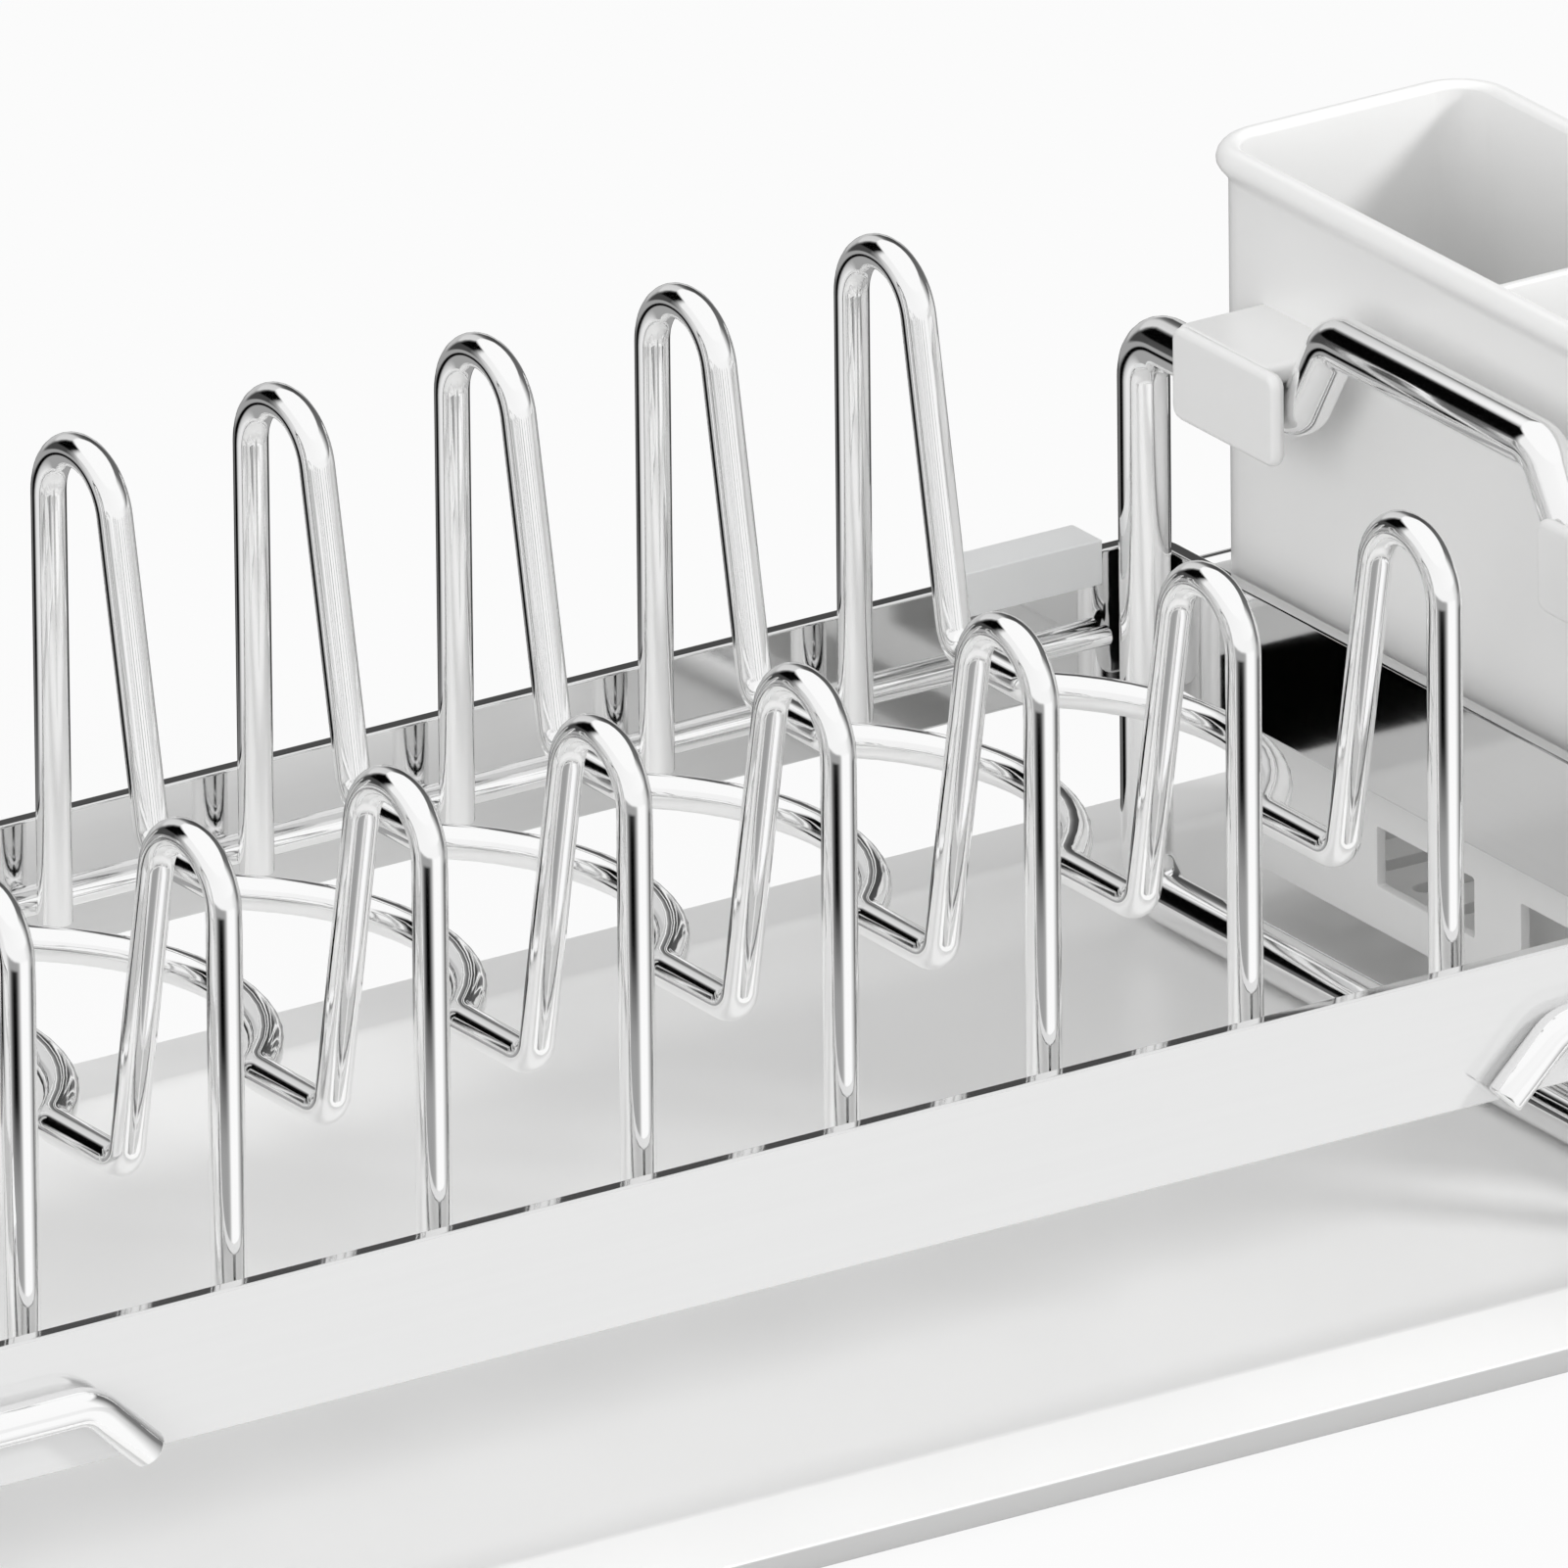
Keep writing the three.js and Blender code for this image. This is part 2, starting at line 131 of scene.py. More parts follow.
slope_angle = 2 * math.atan(tray_crest / tray_slope)
dish_radius = tray_slope / math.sin(slope_angle) - tray_crest_radius
crest_z = tray_high.z
slope_end = tray_rim_width + tray_slope
slope_steps = 8
tray_line = [(0.0, crest_z - tray_rim_fall)]
for k in range(slope_steps + 1):
    a = slope_angle * k / slope_steps
    over = tray_crest_radius * (1 - math.cos(a))
    tray_line.append((tray_rim_width + tray_crest_radius * math.sin(a), crest_z - over))
for k in reversed(range(slope_steps)):
    a = slope_angle * k / slope_steps
    up = dish_radius * (1 - math.cos(a))
    tray_line.append((slope_end - dish_radius * math.sin(a), tray_wall + up))

tray_size = tray_high - tray_low
tray = plate("tray", tray_size.x, tray_size.y, tray_corner, tray_line[0][1], segments=28)
for (inset_a, z_a), (inset_b, z_b) in zip(tray_line, tray_line[1:]):
    bpy.ops.mesh.inset(thickness=inset_b - inset_a, depth=0)
    move(z=z_b - z_a)
bpy.ops.mesh.select_mode(type="EDGE")
bpy.ops.mesh.select_all(action="SELECT")
bpy.ops.mesh.region_to_loop()
bpy.ops.mesh.extrude_region_move(TRANSFORM_OT_translate={"value": (0, 0, -tray_lip)})
lip_tuck = [1 - 2 * tray_lip_tuck / side for side in tray_size.xy]
bpy.ops.transform.resize(value=(*lip_tuck, 1), center_override=(0, 0, 0))
bpy.ops.mesh.select_all(action="SELECT")
bpy.ops.mesh.normals_make_consistent(inside=False)
bpy.ops.object.mode_set(mode="OBJECT")
floor_up = max(tray.data.polygons, key=lambda face: face.area).normal.z > 0
if not floor_up:
    tray.data.flip_normals()
finish_with(tray, "SOLIDIFY", thickness=tray_wall, offset=-1, use_even_offset=True)
round_edges(tray, tray_edge_round, segments=3, from_angle=50)
settle(tray)
flatten_shading(tray)


def effect(name, inputs, outputs):
    """A node group with named inputs, each with a first value, and named outputs."""
    group = bpy.data.node_groups.new(name, "ShaderNodeTree")
    for label, value in inputs.items():
        socket = group.interface.new_socket(
            name=label, in_out="INPUT", socket_type="NodeSocketFloat"
        )
        socket.default_value = value
    for label in outputs:
        group.interface.new_socket(
            name=label, in_out="OUTPUT", socket_type="NodeSocketFloat"
        )
    return group, group.nodes.new("NodeGroupInput"), group.nodes.new("NodeGroupOutput")


# Moulded skin: slow drifts in gloss from the mould, and the fine pebble of the tool's finish
moulded_skin, skin_in, skin_out = effect(
    "moulded_skin", {"Drift Scale": 14.0, "Pebble Scale": 900.0}, ["Drift", "Pebble"]
)
skin_place = moulded_skin.nodes.new("ShaderNodeTexCoord")
for label, detail in (("Drift", 3.0), ("Pebble", 2.0)):
    noise = moulded_skin.nodes.new("ShaderNodeTexNoise")
    noise.inputs["Detail"].default_value = detail
    moulded_skin.links.new(skin_place.outputs["Object"], noise.inputs["Vector"])
    moulded_skin.links.new(skin_in.outputs[f"{label} Scale"], noise.inputs["Scale"])
    moulded_skin.links.new(noise.outputs["Fac"], skin_out.inputs[label])


def finish(name, effect_group, values, metal, colours, gloss, relief, relief_depth, **fixed):
    """A material: the effect's first output drives colour and gloss, its second the relief."""
    material = bpy.data.materials.new(name)
    material.use_nodes = True
    nodes, links = material.node_tree.nodes, material.node_tree.links
    shader = nodes["Principled BSDF"]
    shader.inputs["Metallic"].default_value = metal
    for label, value in fixed.items():
        shader.inputs[label.replace("_", " ").title()].default_value = value
    group = nodes.new("ShaderNodeGroup")
    group.node_tree = effect_group
    for label, value in values.items():
        group.inputs[label].default_value = value
    slow, fine = group.outputs[0], group.outputs[1]

    colour = nodes.new("ShaderNodeMix")
    colour.data_type = "RGBA"
    colour.inputs["A"].default_value = (*colours[0], 1)
    colour.inputs["B"].default_value = (*colours[1], 1)
    links.new(slow, colour.inputs["Factor"])
    links.new(colour.outputs["Result"], shader.inputs["Base Color"])

    rough = nodes.new("ShaderNodeMapRange")
    rough.inputs["To Min"].default_value = gloss[0]
    rough.inputs["To Max"].default_value = gloss[1]
    links.new(slow, rough.inputs["Value"])
    links.new(rough.outputs["Result"], shader.inputs["Roughness"])

    bump = nodes.new("ShaderNodeBump")
    bump.inputs["Strength"].default_value = relief
    bump.inputs["Distance"].default_value = relief_depth
    links.new(fine, bump.inputs["Height"])
    links.new(bump.outputs["Normal"], shader.inputs["Normal"])
    return material


white_moulding = finish(
    "white_moulding",
    moulded_skin,
    {"Drift Scale": 9.0, "Pebble Scale": 1200.0},
    metal=0.0,
    colours=((0.87, 0.87, 0.865), (0.885, 0.885, 0.88)),
    gloss=(0.28, 0.31),
    relief=0.06,
    relief_depth=0.00008,
)


def hand_over(piece, material, body, slot, *nodes):
    """Gives a piece its finish, its body and the CAD nodes that it stands for."""
    piece.data.materials.clear()
    piece.data.materials.append(material)
    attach(piece, body)
    if nodes:
        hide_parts(*nodes)


hand_over(tray, white_moulding, "tray", "white_plastic", "drip_tray")

# The rim band is a flat stainless strip, bent round four corners and butt-welded into a ring.
# Its long edges are rolled smooth. Its faces are polished over a faint grain, which shows more
# on the outside, and the inside is left bright.
band_low, band_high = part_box("rim_band")
band_corner = 8 * MM
band_thickness = 3 * MM
band_edge_round = 0.5 * MM
rack_x = (band_low.x + band_high.x) / 2
rack_z = band_high.z

band_size = band_high - band_low
band = plate("band", band_size.x, band_size.y, band_corner, band_low.z, segments=14)
bpy.ops.transform.translate(value=(rack_x, 0, 0))
bpy.ops.mesh.delete(type="ONLY_FACE")
bpy.ops.mesh.select_mode(type="EDGE")
bpy.ops.mesh.select_all(action="SELECT")
bpy.ops.mesh.extrude_region_move(TRANSFORM_OT_translate={"value": (0, 0, band_size.z)})
bpy.ops.mesh.select_all(action="SELECT")
bpy.ops.mesh.normals_make_consistent(inside=False)
bpy.ops.object.mode_set(mode="OBJECT")
finish_with(band, "SOLIDIFY", thickness=band_thickness, offset=-1, use_even_offset=True)
round_edges(band, band_edge_round, segments=5, from_angle=60)
settle(band)
flatten_shading(band)

# Rolled grain: fine lines along the strip, so they turn with it at the rack's ends
rolled_grain, grain_in, grain_out = effect(
    "rolled_grain", {"Line Scale": 700.0, "Line Stretch": 0.02}, ["Tone", "Lines", "Metal"]
)
grain_place = rolled_grain.nodes.new("ShaderNodeTexCoord")
grain_facing = rolled_grain.nodes.new("ShaderNodeSeparateXYZ")
rolled_grain.links.new(grain_place.outputs["Normal"], grain_facing.inputs["Vector"])
end_face = rolled_grain.nodes.new("ShaderNodeMath")
end_face.operation = "ABSOLUTE"
rolled_grain.links.new(grain_facing.outputs["X"], end_face.inputs[0])
grain_lines = []
for along in ("X", "Y"):
    stretch = rolled_grain.nodes.new("ShaderNodeCombineXYZ")
    for axis in "XYZ":
        if axis == along:
            rolled_grain.links.new(grain_in.outputs["Line Stretch"], stretch.inputs[axis])
        else:
            stretch.inputs[axis].default_value = 1.0
    stretched = rolled_grain.nodes.new("ShaderNodeVectorMath")
    stretched.operation = "MULTIPLY"
    rolled_grain.links.new(grain_place.outputs["Object"], stretched.inputs[0])
    rolled_grain.links.new(stretch.outputs["Vector"], stretched.inputs[1])
    lines = rolled_grain.nodes.new("ShaderNodeTexNoise")
    lines.inputs["Detail"].default_value = 4.0
    rolled_grain.links.new(stretched.outputs["Vector"], lines.inputs["Vector"])
    rolled_grain.links.new(grain_in.outputs["Line Scale"], lines.inputs["Scale"])
    grain_lines.append(lines)
turned = rolled_grain.nodes.new("ShaderNodeMix")
rolled_grain.links.new(end_face.outputs["Value"], turned.inputs["Factor"])
rolled_grain.links.new(grain_lines[0].outputs["Fac"], turned.inputs["A"])
rolled_grain.links.new(grain_lines[1].outputs["Fac"], turned.inputs["B"])
for label in ("Tone", "Lines"):
    rolled_grain.links.new(turned.outputs["Result"], grain_out.inputs[label])

# The grain scatters part of the light on the outer faces; the rest is bare bright metal
outer_face_metal = 0.55
inside_to_outside = (-20 * MM, 20 * MM)
face_to_edge = (0.15, 0.45)
outward = rolled_grain.nodes.new("ShaderNodeVectorMath")
outward.operation = "DOT_PRODUCT"
rolled_grain.links.new(grain_place.outputs["Object"], outward.inputs[0])
rolled_grain.links.new(grain_place.outputs["Normal"], outward.inputs[1])
face_metal = rolled_grain.nodes.new("ShaderNodeMapRange")
face_metal.inputs["From Min"].default_value = inside_to_outside[0]
face_metal.inputs["From Max"].default_value = inside_to_outside[1]
face_metal.inputs["To Min"].default_value = 1.0
face_metal.inputs["To Max"].default_value = outer_face_metal
rolled_grain.links.new(outward.outputs["Value"], face_metal.inputs["Value"])
edge_facing = rolled_grain.nodes.new("ShaderNodeMath")
edge_facing.operation = "ABSOLUTE"
rolled_grain.links.new(grain_facing.outputs["Z"], edge_facing.inputs[0])
edge_metal = rolled_grain.nodes.new("ShaderNodeMapRange")
edge_metal.inputs["From Min"].default_value = face_to_edge[0]
edge_metal.inputs["From Max"].default_value = face_to_edge[1]
rolled_grain.links.new(face_metal.outputs["Result"], edge_metal.inputs["To Min"])
rolled_grain.links.new(edge_facing.outputs["Value"], edge_metal.inputs["Value"])
rolled_grain.links.new(edge_metal.outputs["Result"], grain_out.inputs["Metal"])

satin_strip = finish(
    "satin_strip",
    rolled_grain,
    {"Line Scale": 900.0, "Line Stretch": 0.02},
    metal=1.0,
    colours=((0.76, 0.76, 0.76), (0.785, 0.785, 0.785)),
    gloss=(0.05, 0.08),
    relief=0.02,
    relief_depth=0.00003,
)
strip_nodes = satin_strip.node_tree.nodes
satin_strip.node_tree.links.new(
    strip_nodes["Group"].outputs["Metal"], strip_nodes["Principled BSDF"].inputs["Metallic"]
)
hand_over(band, satin_strip, "rack", "satin_steel", "rim_band")

# Two long wires run inside the band, just under its top edge. They are straight lengths of
# 3.5 mm bright stainless wire, cut square with the burr taken off, and carry the dividers.
long_wire_thickness = 3.5 * MM
wire_sides = 24
bend_facet = math.radians(6)
long_wire_z = rack_z - 14.5 * MM


def bend_wire(name, thickness, corners, closed=False):
    """Draws a rod through its corners, (x, y, z, bend radius): straight runs are extruded
    and bends are spun. Bends that would meet on a short run shrink alike."""
    points = [Vector(corner[:3]) for corner in corners]
    radii = [corner[3] if len(corner) > 3 else 0.0 for corner in corners]
    count = len(points)
    runs = [points[(i + 1) % count] - points[i] for i in range(count)]
    turns = [
        runs[i - 1].angle(runs[i]) if closed or 0 < i < count - 1 else 0.0
        for i in range(count)
    ]
    bends = [radius * math.tan(turn / 2) for radius, turn in zip(radii, turns)]
    for i in range(count if closed else count - 1):
        j = (i + 1) % count
        used, room = bends[i] + bends[j], runs[i].length * 0.98
        if used > room:
            bends[i] *= room / used
            bends[j] *= room / used

    bpy.ops.object.select_all(action="DESELECT")
    bpy.ops.mesh.primitive_circle_add(
        vertices=wire_sides,
        radius=thickness / 2,
        fill_type="NOTHING",
        location=points[0],
        rotation=runs[0].to_track_quat("Z", "Y").to_euler(),
    )
    piece = bpy.context.object
    piece.name = name
    bpy.ops.object.transform_apply(location=True, rotation=True, scale=True)
    bpy.ops.object.mode_set(mode="EDIT")
    bpy.ops.mesh.select_mode(type="EDGE")
    bpy.ops.mesh.select_all(action="SELECT")
    here = points[0].copy()

    def draw_to(place):
        step = place - here
        if step.length > 1e-6:
            bpy.ops.mesh.extrude_region_move(TRANSFORM_OT_translate={"value": step})

    for i in range(1, count):
        if turns[i] < 1e-4:
            continue
        before, after = runs[i - 1].normalized(), runs[i].normalized()
        axis = before.cross(after).normalized()
        radius = bends[i] / math.tan(turns[i] / 2)
        bend_start = points[i] - before * bends[i]
        draw_to(bend_start)
        bpy.ops.mesh.spin(
            steps=max(2, round(turns[i] / bend_facet)),
            angle=-turns[i],
            center=bend_start + axis.cross(before) * radius,
            axis=axis,
        )
        here = points[i] + after * bends[i]
    draw_to(points[0] if closed else points[-1])
    bpy.ops.mesh.select_all(action="SELECT")
    bpy.ops.mesh.remove_doubles(threshold=1e-6)
    if not closed:
        bpy.ops.mesh.select_all(action="DESELECT")
        bpy.ops.mesh.select_non_manifold()
        bpy.ops.mesh.edge_face_add()
        bpy.ops.mesh.fill_holes(sides=0)
    bpy.ops.mesh.select_all(action="SELECT")
    bpy.ops.mesh.normals_make_consistent(inside=False)
    bpy.ops.object.mode_set(mode="OBJECT")
    if not closed:
        round_edges(piece, thickness * 0.09, segments=3, from_angle=60)
    settle(piece, smooth_angle=40)
    return piece


# Drawn steel: faint lines and a slow drift left by drawing and polishing
drawn_steel, drawn_in, drawn_out = effect(
    "drawn_steel", {"Drift Scale": 60.0, "Line Scale": 1500.0}, ["Drift", "Lines"]
)
drawn_place = drawn_steel.nodes.new("ShaderNodeTexCoord")
for label in ("Drift", "Line"):
    noise = drawn_steel.nodes.new("ShaderNodeTexNoise")
    noise.inputs["Detail"].default_value = 2.0
    drawn_steel.links.new(drawn_place.outputs["Object"], noise.inputs["Vector"])
    drawn_steel.links.new(drawn_in.outputs[f"{label} Scale"], noise.inputs["Scale"])
    target = "Drift" if label == "Drift" else "Lines"
    drawn_steel.links.new(noise.outputs["Fac"], drawn_out.inputs[target])

bright_wire = finish(
    "bright_wire",
    drawn_steel,
    {"Drift Scale": 60.0, "Line Scale": 1500.0},
    metal=1.0,
    colours=((0.95, 0.95, 0.95), (0.97, 0.97, 0.97)),
    gloss=(0.055, 0.085),
    relief=0.02,
    relief_depth=0.00002,
)

for side in ("front", "rear"):
    node = f"long_wire_{side}"
    low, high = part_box(node)
    y = (low.y + high.y) / 2
    ends = [(low.x, y, long_wire_z), (high.x, y, long_wire_z)]
    long_wire = bend_wire(f"rail_{side}", long_wire_thickness, ends)
    hand_over(long_wire, bright_wire, "rack", "bright_steel", node)

# Each divider is one length of 6 mm bright wire: a loop at the front, a loop at the rear, and
# a low base between them that bows sideways. Its feet are spot-welded to the long wires.
wire_thickness = 6 * MM
divider_rise = 70.9 * MM
divider_leg_y = 88.15 * MM
divider_loop_width = 18.7 * MM
divider_loop_radius = 10 * MM
divider_base_half = 57.5 * MM
divider_base_rise = 6.7 * MM
divider_base_radius = 5 * MM
divider_bow_half = 35 * MM
divider_bow_reach = 35.6 * MM
divider_bow_radius = 46 * MM
weld_size = (1.7 * MM, 1.2 * MM, 1.6 * MM)

front_half = [
    (0, -divider_leg_y, long_wire_z - long_wire_thickness / 2),
    (0, -divider_leg_y, rack_z + divider_rise, divider_loop_radius),
    (0, divider_loop_width - divider_leg_y, rack_z + divider_rise, divider_loop_radius),
    (0, -divider_base_half, rack_z + divider_base_rise, divider_base_radius),
    (0, -divider_bow_half, rack_z + divider_base_rise, divider_base_radius),
]
rear_half = [(x, -y, z, *radius) for x, y, z, *radius in reversed(front_half)]
bow = (divider_bow_reach, 0, rack_z + divider_base_rise, divider_bow_radius)


def weld_bead(place, size):
    """A small flattened blob of weld metal between two wires."""
    bpy.ops.object.select_all(action="DESELECT")
    bpy.ops.mesh.primitive_uv_sphere_add(segments=14, ring_count=8, radius=1, location=place)
    bead = bpy.context.object
    bead.scale = size
    settle(bead)
    return bead


def join_to(piece, *others):
    bpy.ops.object.select_all(action="DESELECT")
    for other in (piece, *others):
        other.select_set(True)
    bpy.context.view_layer.objects.active = piece
    bpy.ops.object.join()


first_divider = bend_wire("divider_1", wire_thickness, [*front_half, bow, *rear_half])
weld_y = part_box("long_wire_rear")[0].y
weld_beads = [weld_bead((0, s * weld_y, long_wire_z), weld_size) for s in (-1, 1)]
join_to(first_divider, *weld_beads)
divider_places = [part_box(f"divider_wire_{i}")[0].x + wire_thickness / 2 for i in range(1, 9)]
for i, x in enumerate(divider_places, start=1):
    divider = first_divider
    if i > 1:
        divider = first_divider.copy()
        divider.data = first_divider.data.copy()
        divider.name = f"divider_{i}"
        bpy.context.scene.collection.objects.link(divider)
    shift = x - (divider_places[0] if i > 1 else 0.0)
    for corner in divider.data.vertices:
        corner.co.x += shift
    hand_over(divider, bright_wire, "rack", "bright_steel", f"divider_wire_{i}")

# An end frame is a closed ring of 9 mm bright rod at each end of the band: the lowest run is
# the foot, and the middle of the top run is raised as a handle. It is welded inside the band.
frame_thickness = 9 * MM
frame_foot_z = rack_z - 60 * MM
frame_top_z = rack_z + 40.7 * MM
frame_corner = 8 * MM
handle_z = rack_z + 57.3 * MM
handle_half = 31 * MM
handle_foot_half = 41.2 * MM
handle_bend = 6 * MM
frame_weld = (1.4 * MM, 1.6 * MM, 6 * MM)

for side in ("right", "left"):
    node = f"end_frame_{side}"
    low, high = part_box(node)
    x = (low.x + high.x) / 2
    frame_half = high.y - frame_thickness / 2
    half = [
        (x, frame_half, frame_foot_z, frame_corner),
        (x, frame_half, frame_top_z, frame_corner),
        (x, handle_foot_half, frame_top_z, handle_bend),
        (x, handle_half, handle_z, handle_bend),
    ]
    other_half = [(px, -py, pz, radius) for px, py, pz, radius in reversed(half)]
    end_ring = bend_wire(
        f"end_ring_{side}",
        frame_thickness,
        [(x, 0, frame_foot_z), *half, *other_half],
        closed=True,
    )
    weld_x = high.x if side == "right" else low.x
    beads = [
        weld_bead((weld_x, s * frame_half, rack_z - band_size.z / 2), frame_weld)
        for s in (-1, 1)
    ]
    join_to(end_ring, *beads)
    hand_over(end_ring, bright_wire, "rack", "bright_steel", node)

# A clip is a milky plastic guide that hooks over the band's edge from outside and wraps the
# support arm, so that the arm slides in it. Every corner of the mould is softly rounded.
clip_gap = 0.3 * MM
clip_top = 3.0 * MM
clip_leg_out = -5.5 * MM
clip_leg_in = -3.3 * MM
clip_leg_drop = 5 * MM
clip_web_out = 3.5 * MM
clip_arm_drop = 12.2 * MM
clip_bore = 3.65 * MM
clip_ring = 5.95 * MM
arm_thickness = 6.7 * MM
arm_centre = clip_gap + arm_thickness / 2
clip_round = 1.0 * MM
clip_arc_steps = 20


def clip_outline():
    """The clip's section: how far out from the band's face, and how high over its edge."""
    mouth = math.acos(-arm_thickness / 2 / clip_bore)
    ring_mouth = math.acos(-arm_thickness / 2 / clip_ring)
    ring_top = math.acos((clip_web_out - arm_centre) / clip_ring)
    outline = [(clip_leg_in, -clip_leg_drop), (clip_leg_in, clip_gap), (clip_gap, clip_gap)]
    for radius, start, end in (
        (clip_bore, mouth, -mouth),
        (clip_ring, -ring_mouth, ring_top),
    ):
        for k in range(clip_arc_steps + 1):
            a = start + (end - start) * k / clip_arc_steps
            out = arm_centre + radius * math.cos(a)
            outline.append((out, radius * math.sin(a) - clip_arm_drop))
    outline += [(clip_web_out, clip_top), (clip_leg_out, clip_top)]
    return [*outline, (clip_leg_out, -clip_leg_drop)]


clip_plastic = finish(
    "milky_clip",
    moulded_skin,
    {"Drift Scale": 60.0, "Pebble Scale": 1800.0},
    metal=0.0,
    colours=((0.855, 0.865, 0.865), (0.885, 0.89, 0.89)),
    gloss=(0.26, 0.32),
    relief=0.06,
    relief_depth=0.00006,
)

for end in ("right", "left"):
    for side, s in (("rear", 1), ("front", -1)):
        node = f"clip_{side}_{end}"
        low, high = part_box(node)
        outline = clip_outline()
        bpy.ops.object.select_all(action="DESELECT")
        bpy.ops.mesh.primitive_plane_add(size=1, location=(0, 0, 0))
        clip = bpy.context.object
        clip.name = f"guide_{side}_{end}"
        pick(clip, "VERT", lambda corner: corner.index > 0)
        bpy.ops.mesh.delete(type="VERT")
        bpy.ops.mesh.select_all(action="SELECT")
        bpy.ops.object.mode_set(mode="OBJECT")
        here = clip.data.vertices[0].co.copy()
        bpy.ops.object.mode_set(mode="EDIT")
        for k, (out, up) in enumerate(outline):
            place = Vector((low.x, s * (band_size.y / 2 + out), rack_z + up))
            step = place - here
            if k == 0:
                move(*step)
            else:
                bpy.ops.mesh.extrude_region_move(TRANSFORM_OT_translate={"value": step})
            here = place
        bpy.ops.mesh.select_all(action="SELECT")
        bpy.ops.mesh.edge_face_add()
        bpy.ops.mesh.select_all(action="SELECT")
        length = high.x - low.x
        bpy.ops.mesh.extrude_region_move(TRANSFORM_OT_translate={"value": (length, 0, 0)})
        bpy.ops.mesh.select_all(action="SELECT")
        bpy.ops.mesh.remove_doubles(threshold=1e-6)
        bpy.ops.mesh.normals_make_consistent(inside=False)
        bpy.ops.object.mode_set(mode="OBJECT")
        round_edges(clip, clip_round, segments=4, from_angle=45)
        settle(clip, smooth_angle=40)
        flatten_shading(clip)
        hand_over(clip, clip_plastic, "rack", "clip_plastic", node)

# The two support arms are U-shaped lengths of 6.7 mm bright rod. They slide out along the band
# to lie on the sink's edge, and their inner ends are bent down so they can't pull out.
arm_z = rack_z - clip_arm_drop
arm_corner = 14 * MM
arm_tip_run = 11.2 * MM
arm_tip_fall = 10.6 * MM
arm_tip_bend = 8 * MM
arm_length = 165 * MM
arm_y = band_size.y / 2 + arm_centre

for side, s in (("right", 1), ("left", -1)):
    node = f"support_arm_{side}"
    low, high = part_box(node)
    bar_x = high.x - arm_thickness / 2 if s > 0 else low.x + arm_thickness / 2
    tip_x = bar_x - s * arm_length
    prong = [
        (tip_x, arm_y, arm_z - arm_tip_fall),
        (tip_x + s * arm_tip_run, arm_y, arm_z, arm_tip_bend),
        (bar_x, arm_y, arm_z, arm_corner),
    ]
    other_prong = [(px, -py, pz, *radius) for px, py, pz, *radius in reversed(prong)]
    arm = bend_wire(f"arm_{side}", arm_thickness, [*prong, *other_prong])
    hand_over(arm, bright_wire, f"arm_{side}", "bright_steel", node)

# The cutlery holder is a thin-walled white box moulding with a bead round its mouth, one
# partition, two drain windows and slots in its floor. Two hooks hang it on the end frame.
holder_inner_x = band_high.x + 3 * MM
holder_width = 53.8 * MM
holder_length = 170.7 * MM
holder_top = rack_z + 74.3 * MM
holder_bottom = rack_z - 53 * MM
holder_wall = 2 * MM
holder_floor = 2.5 * MM
holder_corner = 9 * MM
rim_half_height = 2.8 * MM
rim_reach = 2.1 * MM
holder_edge_round = 0.35 * MM
partition_edge_round = 0.5 * MM
rim_crest_in = 2.4 * MM
rim_mouth_fall = 1.3 * MM
rim_under = 3.8 * MM
partition_drop = 0.4 * MM
window_width = 28.9 * MM
window_y = 42.9 / 2 * MM
window_top = rack_z - 34.3 * MM
window_bottom = rack_z - 45 * MM
window_corner = 0.5 * MM
slot_count = 5
slot_pitch = 12 * MM
slot_length = 30 * MM
slot_width = 4 * MM
hook_width = 24.9 * MM
hook_near = handle_foot_half + 3.6 * MM
hook_bridge_near = handle_foot_half + 2.4 * MM
hook_plate = 2.7 * MM
hook_plate_reach = 6.1 * MM
hook_bridge = 3.9 * MM
hook_height = 16.6 * MM
hook_corner = 2.5 * MM
hook_round = 1.25 * MM
holder_x = holder_inner_x + holder_width / 2


def block(name, low, high):
    """A plain block between two corners, to be shaped or to cut with."""
    low, high = Vector(low), Vector(high)
    bpy.ops.object.select_all(action="DESELECT")
    bpy.ops.mesh.primitive_cube_add(size=1, location=(low + high) / 2)
    piece = bpy.context.object
    piece.name = name
    piece.scale = high - low
    bpy.ops.object.transform_apply(location=True, rotation=True, scale=True)
    return piece


def round_upright(piece, axis, radius, segments):
    """Rounds the edges of a block that run along one axis."""
    corners = piece.data.vertices

    def runs_along(edge):
        a, b = (corners[i].co for i in edge.vertices)
        return (b - a).normalized()[axis] ** 2 > 0.99

    pick(piece, "EDGE", runs_along)
    bpy.ops.mesh.bevel(offset=radius, segments=segments, affect="EDGES")
    bpy.ops.object.mode_set(mode="OBJECT")


def cut_out(piece, cutters):
    join_to(cutters[0], *cutters[1:])
    finish_with(piece, "BOOLEAN", operation="DIFFERENCE", object=cutters[0], solver="EXACT")
    bpy.data.objects.remove(cutters[0])


def shell(name, corner, line):
    """A round-cornered shell: line gives how far in from the rim's widest line, and how
    high, each ring lies. Its last ring is left closed and selected."""
    length = holder_width + 2 * rim_reach
    depth = holder_length + 2 * rim_reach
    (first_in, first_z), *rest = line
    piece = plate(name, length - 2 * first_in, depth - 2 * first_in, corner, first_z, 10)
    inset, height = first_in, first_z
    for ring_in, ring_z in rest:
        if ring_in == inset:
            rise = (0, 0, ring_z - height)
            bpy.ops.mesh.extrude_region_move(TRANSFORM_OT_translate={"value": rise})
        else:
            bpy.ops.mesh.inset(thickness=ring_in - inset, depth=0)
            move(z=ring_z - height)
        inset, height = ring_in, ring_z
    return piece


